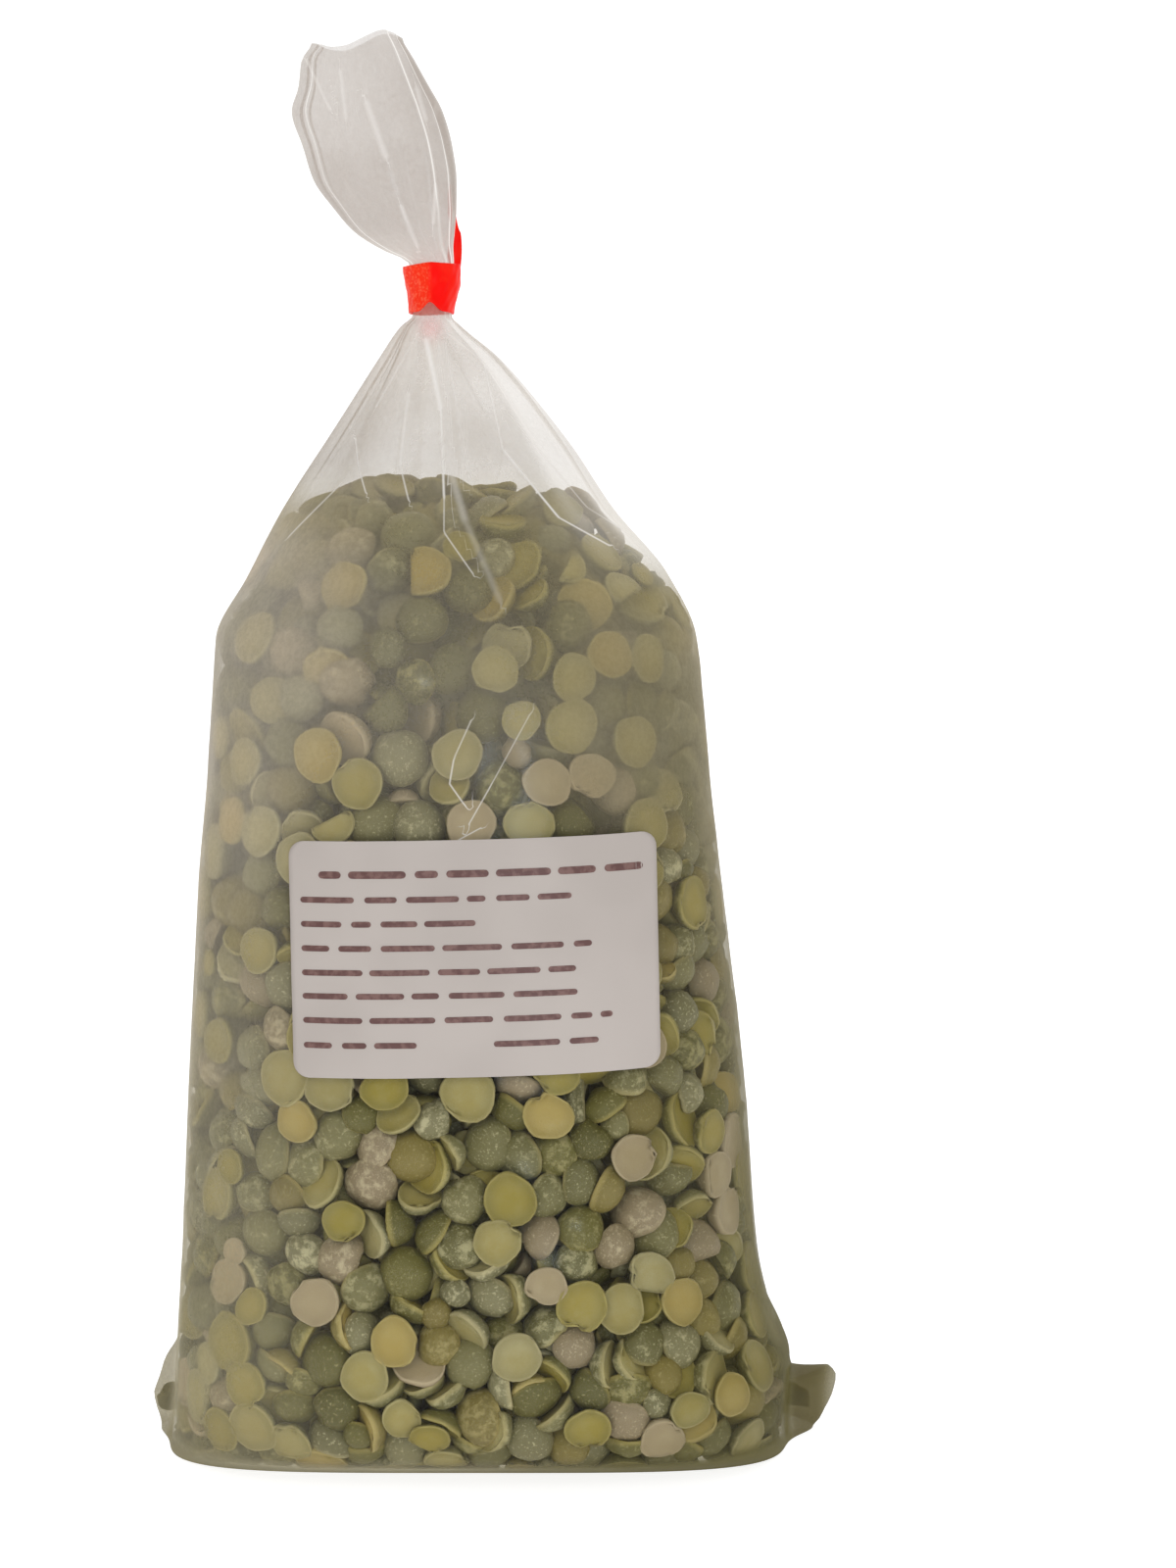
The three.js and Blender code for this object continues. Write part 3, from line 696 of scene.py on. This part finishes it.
# Painted shade on the film, which makes it dark: along the base, at the lower right corner and in the ears
# where it lies double.
in_ear = smooth(0.3, 1.6, ear)
film_shade = np.maximum(0.6 * (1 - smooth(1.5, 4.5, z)) + 0.14 * smooth(1.5, 4.5, z) * (1 - smooth(6, 13, z)),
                    0.5 * smooth(0.7, 0.95, side) * (1 - smooth(8, 22, z)))
film_shade = np.maximum(film_shade, in_ear * np.where(side > 0, 1 - 0.5 * smooth(4.8, 7.6, ear), 0.45))
haze_and_reflection *= 1 - 0.7 * in_ear
# How brightly it shines where it slants away, a painted glow, and the painted red glow that the tape throws
# on it under the neck.
sheen = np.where(z > 170, 1 + 1.7 * smooth(0, 0.8, side) + 0.5 * smooth(0.5, 0.85, -side),
                 0.85 * smooth(0.3, 0.9, side) * smooth(126, 138, z))
tape_glow = np.exp(-((film_points[..., 0] + 6.9) / 1.5) ** 2 - ((z - 166.4) / 1.7) ** 2)
haze_and_reflection, film_shade, tape_glow, sheen = (np.concatenate([mark[:1], mark[:1], mark])
                              for mark in (haze_and_reflection, film_shade, tape_glow, sheen))

# Sharp creases in the film, with a painted white highlight along each: start and end across and up, half
# width, strength.
# On the back they lie the other way round, mirrored at the neck.
CREASES = [
    (-7.4, 164.5, -4.9, 154, 0.75, 0.8), (-4.9, 154, -4.1, 141, 0.3, 0.8),
    (-4.1, 141, -4.0, 136.4, 0.2, 0.5), (-4.0, 136.4, 0.2, 130.6, 0.2, 0.6),
    (-4.1, 165.4, 1.2, 161.0, 0.3, 0.4), (1.2, 161, 4.1, 148.3, 0.26, 0.6),
    (4.1, 148.3, 12.2, 138.5, 0.26, 0.9), (12.2, 138.5, 19.6, 134.4, 0.2, 0.8),
    (4.8, 153.6, 16.2, 140, 0.18, 0.4), (16.2, 140, 23.5, 135.5, 0.18, 0.3),
    (-17.5, 150, -16.8, 146, 0.2, 0.6), (-16.8, 146, -15.4, 142, 0.2, 0.6), (-4.9, 150, -1, 138, 0.9, 0.3),
    (-1, 138, 4, 127, 0.8, 0.18), (-9.8, 156.5, -10.6, 146, 0.55, 0.5), (-10.6, 146, -9.2, 141, 0.22, 0.6),
    (-9.4, 164.2, -14.6, 154.5, 0.3, 0.4), (-4.5, 163.7, -0.4, 144, 0.25, 0.35),
    (-27.2, 135.5, -19.6, 143, 0.2, 0.5), (-2.3, 105, -2.9, 101.5, 0.22, 0.7),
    (-2.9, 101.5, -0.7, 98.4, 0.22, 0.7), (3.0, 101.5, -0.3, 95.7, 0.2, 0.6),
    (-6.6, 91, 1.5, 95.4, 0.2, 0.6), (0.2, 110.5, -2.3, 105, 0.2, 0.5), (8.5, 111.5, 3.0, 101.5, 0.18, 0.4),
    (-16, 199, -13.2, 191, 0.8, 0.35), (-8.8, 201.5, -7.4, 196.5, 0.6, 0.35),
    (-19.8, 203.5, -19, 196.5, 0.5, 0.3), (-6, 187, -6.3, 181.5, 0.45, 0.4),
    (-25, 205.5, -21.3, 197.9, 0.4, 0.3), (-11, 184, -8.6, 178, 0.5, 0.35),
]
MIRROR_SUM = -14  # twice the neck's place across
flat_x = np.where(film_grid[..., 1] < 0, film_grid[..., 0], MIRROR_SUM - film_grid[..., 0])
flat = np.stack([flat_x, film_grid[..., 2]], -1)
nearest = np.full(flat.shape[:2], 99.0)
crease_side, crease_highlight = nearest.copy(), np.zeros(flat.shape[:2])
for start_x, start_z, end_x, end_z, half_width, strength in CREASES:
    way = np.array([end_x - start_x, end_z - start_z])
    long = np.hypot(*way)
    off = flat - [start_x, start_z]
    done = np.clip(off @ way / long, 0, long)
    away = np.linalg.norm(off - done[..., None] * way / long, axis=-1)
    across = np.sign(off[..., 0] * way[1] - off[..., 1] * way[0]) * away / half_width
    closer = away < nearest
    nearest = np.minimum(nearest, away)
    crease_side = np.where(closer, across, crease_side)
    crease_highlight = np.where(closer, strength * (away < half_width + 1.2), crease_highlight)

index = np.arange(film_grid[..., 0].size).reshape(film_grid.shape[:2])
after = np.roll(index, -1, 1)
FILM_MARKS = ("haze_and_reflection", "film_shade", "tape_glow", "sheen", "crease_side", "crease_highlight")
marks = [mark.ravel() for mark in (haze_and_reflection, film_shade, tape_glow, sheen, crease_side, crease_highlight)]
film = mesh_piece("film_bag", film_grid.reshape(-1, 3),
                  np.stack([index[:-1], after[:-1], after[1:], index[1:]], -1).reshape(-1, 4),
                  zip(FILM_MARKS, marks))

film_material = bpy.data.materials.new("clear_film")
film_material.use_nodes = True
tree = film_material.node_tree
tree.nodes.clear()
haze_and_reflection, film_shade, tape_glow, sheen, crease_side, crease_highlight = (mark_on(tree, mark) for mark in FILM_MARKS)
slant = node(tree, "ShaderNodeLayerWeight", Blend=0.5).outputs["Facing"]
place = node(tree, "ShaderNodeTexCoord").outputs["Object"]
line = ranged(tree, computed(tree, "ABSOLUTE", crease_side), 0.0, 1.0, 1.0, 0.0)
line = computed(tree, "MULTIPLY", line, crease_highlight)
cloud = ranged(tree, noise(tree, 42.0, 2.0, 0.6), 0.3, 0.7, 0.82, 1.18)
powder = ranged(tree, noise(tree, 1300.0, 4.0, 0.7), 0.36, 0.64, 0.93, 1.07)
veil_share = computed(tree, "MULTIPLY", computed(tree, "MULTIPLY", haze_and_reflection, cloud), powder)
veil_share = computed(tree, "MULTIPLY_ADD", computed(tree, "POWER", slant, 3.0), 0.1, veil_share)
# the painted crease highlights add to the veil as well
veil_share = computed(tree, "MULTIPLY_ADD", line, 0.6, veil_share)
# the painted shade also clouds the film
veil_share = computed(tree, "MULTIPLY_ADD", film_shade, 0.45, veil_share)
# the painted shade darkens what shows through the film
film_clear = mixed(tree, film_shade, (0.98, 0.975, 0.965, 1), (0.52, 0.48, 0.36, 1))
# the veil takes on the peas' colour with painted light and shade: lit warm grey at the left and above,
# shaded olive low at the right, and a neutral grey in the tail
spot = node(tree, "ShaderNodeSeparateXYZ", Vector=place).outputs
rightward = ranged(tree, spot[0], -0.03, 0.03)
upward = ranged(tree, spot[2], 0.01, 0.11)
above = ranged(tree, computed(tree, "MULTIPLY_ADD", spot[0], 0.29, spot[2]), 0.122, 0.136)
veil_colour_and_light = mixed(tree, rightward, mixed(tree, upward, paint(212, 203, 172), paint(238, 228, 210)),
                   mixed(tree, upward, paint(136, 129, 82), paint(188, 177, 146)))
film_warm = mixed(tree, ranged(tree, spot[2], 0.136, 0.148), paint(218, 206, 174), paint(202, 192, 182))
veil_colour_and_light = mixed(tree, above, veil_colour_and_light, film_warm)
veil_colour_and_light = mixed(tree, ranged(tree, spot[2], 0.172, 0.182), veil_colour_and_light, paint(187, 178, 171))
# painted shade in the veil's colour, then the painted crease highlights and the tape's painted red glow
veil_colour_and_light = mixed(tree, film_shade, veil_colour_and_light, paint(118, 110, 74))
veil_colour_and_light = mixed(tree, line, veil_colour_and_light, paint(255, 253, 250))
veil_colour_and_light = mixed(tree, computed(tree, "MULTIPLY", tape_glow, 0.7), veil_colour_and_light, paint(214, 120, 112))
wrinkles = noise(tree, 110.0, 2.0, 0.55)
bump = node(tree, "ShaderNodeBump", Strength=0.2, Distance=0.0005, Height=wrinkles).outputs[0]
clear = node(tree, "ShaderNodeBsdfTransparent", Color=film_clear)
white = node(tree, "ShaderNodeBsdfDiffuse", Color=veil_colour_and_light)
glow = node(tree, "ShaderNodeBsdfTranslucent", Color=veil_colour_and_light)
veil = node(tree, "ShaderNodeMixShader", Fac=0.5, i1=white.outputs[0], i2=glow.outputs[0])
# the light passes to the peas almost unhindered
shadow_ray = node(tree, "ShaderNodeLightPath").outputs["Is Shadow Ray"]
veil_share = computed(tree, "MULTIPLY", veil_share, computed(tree, "MULTIPLY_ADD", shadow_ray, -0.7, 1.0))
body = node(tree, "ShaderNodeMixShader", Fac=veil_share, i1=clear.outputs[0], i2=veil.outputs[0])
# painted highlight: a white glow where the film slants away and along the creases
glint = node(tree, "ShaderNodeEmission", Color=paint(255, 251, 246), Strength=0.95)
shining = computed(tree, "MULTIPLY", sheen, computed(tree, "POWER", slant, 2.0))
shining = computed(tree, "MULTIPLY_ADD", shining, 0.85, computed(tree, "MULTIPLY", line, 0.45))
body = node(tree, "ShaderNodeMixShader", Fac=shining, i1=body.outputs[0], i2=glint.outputs[0])
gloss = node(tree, "ShaderNodeBsdfGlossy", Color=(1, 1, 1, 1), Roughness=0.2, Normal=bump)
mirror = computed(tree, "MULTIPLY_ADD", computed(tree, "POWER", slant, 4.0), 0.05, 0.009)
shine = node(tree, "ShaderNodeMixShader", Fac=mirror, i1=body.outputs[0], i2=gloss.outputs[0])
end = tree.nodes.new("ShaderNodeOutputMaterial")
tree.links.new(shine.outputs[0], end.inputs[0])
film.data.materials.append(film_material)
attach(film, "root")
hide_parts("filled_bag")

# ---------- The paper label ----------
# A white paper sticker with rounded corners, stuck flat on the film of the front. It follows the bag's
# round front and isn't quite level.

LABEL_WIDTH, LABEL_HEIGHT, LABEL_CORNER = 51.6, 33.2, 2.2
LABEL_X, LABEL_TILT = 0.5, math.radians(1.2)
LABEL_OUT = 0.42  # its back is this far in front of the bag's outline


def on_label(across, up, out):
    """Points of the label's plane, across and up from its middle, laid on the bag's round front."""
    x = LABEL_X + across * math.cos(LABEL_TILT) - up * math.sin(LABEL_TILT)
    z = LABEL_Z + across * math.sin(LABEL_TILT) + up * math.cos(LABEL_TILT)
    left, right, front, _, square = (along(BAG, z, k) for k in range(1, 6))
    share = np.abs((x - (left + right) / 2) / ((right - left) / 2))
    # the peas behind it make the paper slightly wavy
    wave = 0.08 * np.sin(0.5 * x + 1) * np.sin(0.4 * z)
    return np.stack([x, front * (1 - share ** square) ** (1 / square) - LABEL_OUT - out + wave, z], -1)


ends = np.array([0, 0.06, 0.25, 0.6, 1.1, 1.7, LABEL_CORNER])  # rows in the stretch of the round corners
up = np.concatenate([ends - LABEL_HEIGHT / 2, np.linspace(-14, 14, 29), (LABEL_HEIGHT / 2 - ends)[::-1]])
end = np.minimum(LABEL_HEIGHT / 2 - np.abs(up), LABEL_CORNER)
cut = LABEL_CORNER - np.sqrt(LABEL_CORNER ** 2 - (LABEL_CORNER - end) ** 2)
across = np.linspace(-1, 1, 71)[None, :] * (LABEL_WIDTH / 2 - cut)[:, None]
label_grid = on_label(across, up[:, None] + 0 * across, 0)
index = np.arange(across.size).reshape(across.shape)
label_faces = np.stack([index[:-1, :-1], index[:-1, 1:], index[1:, 1:], index[1:, :-1]], -1).reshape(-1, 4)
label = mesh_piece("label", label_grid.reshape(-1, 3), label_faces)
paper = label.modifiers.new("paper", "SOLIDIFY")
paper.thickness = 0.16 * MM
paper.offset = 1
tree, sheet = material_on(label, "label_paper")
tone = ranged(tree, noise(tree, 55.0), 0.35, 0.65)
fibres = node(tree, "ShaderNodeBump", Strength=0.08, Distance=0.0001, Height=noise(tree, 2600.0, 3.0))
tree.links.new(mixed(tree, tone, paint(190, 180, 173), paint(184, 174, 167)), sheet["Base Color"])
tree.links.new(fibres.outputs[0], sheet["Normal"])
sheet["Roughness"].default_value = 0.62
sheet["Specular IOR Level"].default_value = 0.3
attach(label, "root")
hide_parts("paper_label")

# ---------- The label's print ----------
# The printed lines, as plain dark brown bars with gaps: nothing on the label can be read.

# each row: how high above the label's middle, and where it starts and ends
PRINT_ROWS = [(11.9, -21.6, 23.9), (8.4, -24.3, 13.8), (5.0, -24.3, 1.4), (1.6, -24.3, 16.5),
              (-1.8, -24.3, 14.2), (-5.1, -24.3, 14.9), (-8.5, -24.3, 19.2), (-12.0, -24.3, -6.0),
              (-12.0, 2.5, 18.3)]
HEADING_HEIGHT = 10  # rows above this have thicker bars
PRINT_FRONT, PRINT_BACK = 0.19, 0.1  # how far in front of the label's back the bars' faces lie
print_draw = np.random.default_rng(3)
print_points, print_faces = [], []
for height, start, stop in PRINT_ROWS:
    while start < stop - 1.5:
        long = min(print_draw.uniform(2.6, 9.5), stop - start)
        half = 0.52 if height > HEADING_HEIGHT else 0.42
        steps = np.linspace(0, 1, max(int(long * 1.5), 4) + 1)
        steps = np.unique(np.concatenate([steps, [0.1 / long, 0.3 / long, 1 - 0.3 / long, 1 - 0.1 / long]]))
        from_end = np.minimum(steps, 1 - steps) * long
        round_end = half * np.sqrt(np.clip(1 - (1 - np.minimum(from_end / half, 1)) ** 2, 0.04, 1))
        x = np.repeat(start + steps * long, 4).reshape(-1, 4)
        ring = on_label(x, height + round_end[:, None] * [-1, 1, 1, -1],
                        np.array([PRINT_FRONT, PRINT_FRONT, PRINT_BACK, PRINT_BACK]))
        first = sum(len(points) for points in print_points)
        index = first + np.arange(ring.shape[0] * 4).reshape(-1, 4)
        after = np.roll(index, -1, 1)
        print_faces += [np.stack([index[:-1], index[1:], after[1:], after[:-1]], -1).reshape(-1, 4),
                        index[:1], index[-1:, ::-1]]
        print_points.append(ring.reshape(-1, 3))
        start += long + print_draw.uniform(0.9, 1.5)
label_print = mesh_piece("label_print", np.concatenate(print_points), np.concatenate(print_faces))
label_print.data.shade_flat()
tree, ink = material_on(label_print, "brown_print")
toner = ranged(tree, noise(tree, 900.0, 3.0), 0.4, 0.65)
tree.links.new(mixed(tree, toner, paint(98, 66, 62), paint(124, 92, 86)), ink["Base Color"])
ink["Roughness"].default_value = 0.5
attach(label_print, "root")

# ---------- The closing tape ----------
# Glossy red tape wound flat round the gathered neck. It flares upwards, has a notch in its lower edge at
# the front, and its free end stands up behind the tail.

TAPE_LOW, TAPE_HIGH = 168.6, 175.8
TAPE_WALL = 0.3  # a few turns of tape
TAPE_ROWS, TAPE_COLUMNS = 22, 144
share = np.linspace(0, 1, TAPE_ROWS)[:, None]
a = (2 * math.pi * np.arange(TAPE_COLUMNS) / TAPE_COLUMNS)[None, :]
level = TAPE_LOW + (TAPE_HIGH - TAPE_LOW) * share + 0 * a
# height, left edge, right edge, front, back
TAPE_EDGES = np.array([[TAPE_LOW, -10.2, -3.5, -4.2, 4.2], [171.2, -10.3, -2.9, -3.9, 3.9],
                       [173.2, -10.7, -2.5, -3.9, 3.9], [TAPE_HIGH, -11.0, -2.5, -3.9, 3.9]])
left, right, front, back = (along(TAPE_EDGES, level, k) for k in range(1, 5))


def tape_ring(inward):
    """One face of the tape, crumpled, with a ridge, a notch and a low left corner at the front."""
    x = (left + right) / 2 + ((right - left) / 2 - inward) * np.cos(a)
    ridge = 1 + 0.16 * np.exp(-np.abs(x + 6.9) / 1.6) * (np.sin(a) < 0)
    y = ((back - front) / 2 - inward) * np.sin(a) * ridge
    crumple = 0.04 * np.sin(9 * a + 1.2 * level) + 0.03 * np.sin(17 * a - 2 * level)
    notch = 1.4 * np.exp(-((x + 6.8) / 1.1) ** 2) * (y < 0) * (1 - share) ** 2
    lower_left = 0.35 * smooth(-6, -10, x) * share
    z = level + notch - lower_left + 0.06 * np.sin(3 * a + 1) * (2 * share - 1)
    return np.stack([x + crumple * np.cos(a), y + crumple * np.sin(a), z], -1)


rings = np.concatenate([tape_ring(0), tape_ring(TAPE_WALL)[::-1]])
index = np.arange(rings.shape[0] * TAPE_COLUMNS).reshape(-1, TAPE_COLUMNS)
after, upper = np.roll(index, -1, 1), np.roll(index, -1, 0)
tape_faces = np.stack([index, after, np.roll(after, -1, 0), upper], -1).reshape(-1, 4)
# the free end, as a flat strip: height, left edge, right edge, and how far back it stands
FREE_END = np.array([[170.5, -5.0, -3.4, 3.4], [174, -4.6, -2.9, 3.5], [176.1, -4.7, -2.55, 3.4],
                     [178.5, -4.4, -2.4, 3.2], [180.5, -4.2, -2.5, 3.0], [181.5, -4.2, -2.9, 2.9],
                     [184, -4.4, -3.3, 2.9], [187, -4.4, -3.4, 2.9], [187.9, -4.1, -3.7, 2.9]])
STRIP_WALL = 0.2
strip_z = np.linspace(FREE_END[0, 0], FREE_END[-1, 0], 30)
low, high, deep = (along(FREE_END, strip_z, k) for k in (1, 2, 3))
strip = np.stack([np.stack([x, deep + thick + 0.1 * np.sin(strip_z), strip_z], -1)
                  for x, thick in ((low, 0), (high, 0), (high, STRIP_WALL), (low, STRIP_WALL))], 1)
index = rings.shape[0] * TAPE_COLUMNS + np.arange(strip.shape[0] * 4).reshape(-1, 4)
after = np.roll(index, -1, 1)
strip_faces = [np.stack([index[:-1], after[:-1], after[1:], index[1:]], -1).reshape(-1, 4),
               index[:1, ::-1], index[-1:]]
tape = mesh_piece("red_tape", np.concatenate([rings.reshape(-1, 3), strip.reshape(-1, 3)]),
                  np.concatenate([tape_faces] + strip_faces))
tree, plastic = material_on(tape, "red_tape")
fold = noise(tree, 420.0)
specks = ranged(tree, noise(tree, 2600.0), 0.45, 0.7)
place = node(tree, "ShaderNodeTexCoord").outputs["Object"]
across = node(tree, "ShaderNodeSeparateXYZ", Vector=place).outputs[0]
left_of_ridge = ranged(tree, across, -0.0075, -0.0063, 1.0, 0.0)
red = mixed(tree, ranged(tree, fold, 0.35, 0.7), paint(249, 6, 0), paint(249, 32, 12))
orange = mixed(tree, specks, paint(247, 48, 20), paint(250, 92, 62))  # the face that catches the light
red = mixed(tree, left_of_ridge, red, orange)
crumple = node(tree, "ShaderNodeBump", Strength=0.3, Distance=0.0003, Height=fold)
tree.links.new(red, plastic["Base Color"])
# a faint painted glow in its own red makes the tape brighter than the light on it
tree.links.new(red, plastic["Emission Color"])
tree.links.new(crumple.outputs[0], plastic["Normal"])
plastic["Emission Strength"].default_value = 0.12
plastic["Specular IOR Level"].default_value = 0.12
plastic["Roughness"].default_value = 0.42
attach(tape, "root")
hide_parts("closing_tape")

# ---------- The table and the light ----------
# A plain pale floor that curves up behind the bag, soft lights and the photograph's camera.

# how far back and how high the floor's rows lie, in metres, as are all sizes in this section
sweep = [(-0.3, 0), (0.6, 0), (0.9, 0.02), (1.15, 0.12), (1.3, 0.3), (1.36, 0.6), (1.36, 2.6)]
floor_mesh = bpy.data.meshes.new("floor")
floor_mesh.from_pydata([(side, y, z) for y, z in sweep for side in (-3, 3)], [],
                       [(2 * k, 2 * k + 1, 2 * k + 3, 2 * k + 2) for k in range(len(sweep) - 1)])
floor_mesh.shade_smooth()
floor = bpy.data.objects.new("floor", floor_mesh)
bpy.context.scene.collection.objects.link(floor)
tree, backdrop = material_on(floor, "pale_floor")
backdrop["Base Color"].default_value = (0.4, 0.4, 0.4, 1)
backdrop["Roughness"].default_value = 0.9
backdrop["Emission Color"].default_value = (1, 1, 1, 1)
backdrop["Emission Strength"].default_value = 0.84
floor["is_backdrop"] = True


def soft_light(name, place, size, power, mirrored, colour=(1, 1, 1)):
    """A rectangle of light that faces the bag, and shows in its gloss only where mirrored is true."""
    lamp = bpy.data.lights.new(name, "AREA")
    lamp.shape = "RECTANGLE"
    lamp.size, lamp.size_y = size
    lamp.energy = power
    lamp.color = colour
    made = bpy.data.objects.new(name, lamp)
    made.location = place
    made.rotation_euler = (Vector((0, 0, 0.1)) - Vector(place)).to_track_quat("-Z", "Y").to_euler()
    made.visible_glossy = mirrored
    bpy.context.scene.collection.objects.link(made)


soft_light("key", (-0.5, -1.0, 1.1), (0.9, 0.7), 4.5, False)
soft_light("fill", (0.9, -0.8, 0.5), (0.8, 0.8), 2, False)
soft_light("front", (-0.1, -1.6, 0.8), (1.6, 1.2), 3, True)
soft_light("back", (0.1, 0.75, 1.0), (1.2, 0.6), 5, False)
soft_light("window", (0.25, -1.1, 0.12), (0.2, 0.24), 1.6, True, (0.75, 0.88, 1.0))
world = bpy.data.worlds.new("studio")
bpy.context.scene.world = world
world.use_nodes = True
world.node_tree.nodes["Background"].inputs[0].default_value = (1, 1, 1, 1)
world.node_tree.nodes["Background"].inputs[1].default_value = 0.38
bpy.context.scene.view_settings.view_transform = "Standard"

camera = bpy.data.objects.new("camera", bpy.data.cameras.new("camera"))
bpy.context.scene.collection.objects.link(camera)
camera.data.lens = 69.8
camera.data.sensor_width = 36
aim = Vector((0.0164, 0, 0.0986))
rise_angle = math.radians(5)
camera.location = aim + 0.4568 * Vector((0, -math.cos(rise_angle), math.sin(rise_angle)))
camera.rotation_euler = (aim - camera.location).to_track_quat("-Z", "Y").to_euler()
bpy.context.scene.camera = camera

low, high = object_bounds()
